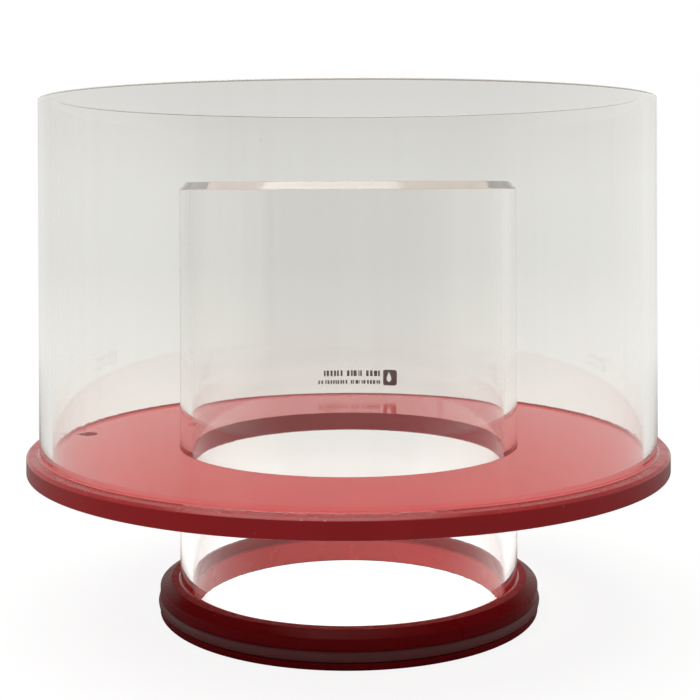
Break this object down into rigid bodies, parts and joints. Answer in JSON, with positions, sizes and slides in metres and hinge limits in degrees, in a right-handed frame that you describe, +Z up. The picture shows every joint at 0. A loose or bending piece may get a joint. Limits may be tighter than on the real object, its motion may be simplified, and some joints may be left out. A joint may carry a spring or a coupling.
{
  "type": "protein skimmer collection cup",
  "caption": "Clear open-topped cup on a red base flange, with a clear central neck tube above and a red O-ring collar below, and a drain nipple under the flange.",
  "frame": {"origin": "centre of the collar's lower face, which the cup stands on", "axes": "+Z up along the common axis of neck, collar and cup; +X to the right and +Y to the back as seen from the front; the drain nipple lies 7.6 degrees behind -X and the printed label 2.2 degrees right of +Y"},
  "size_m": [0.208, 0.208, 0.1665],
  "materials": {
    "clear_acrylic": "polished",
    "red_acrylic": "gloss",
    "nitrile_rubber": "satin",
    "screen_ink": "satin"
  },
  "bodies": {
    "root": {"cup_wall": "clear_acrylic", "base_flange": "red_acrylic", "neck_tube": "clear_acrylic", "collar_ring": "red_acrylic", "collar_o_ring": "nitrile_rubber", "drain_nipple": "red_acrylic", "printed_label": "screen_ink"}
  },
  "joints": []
}
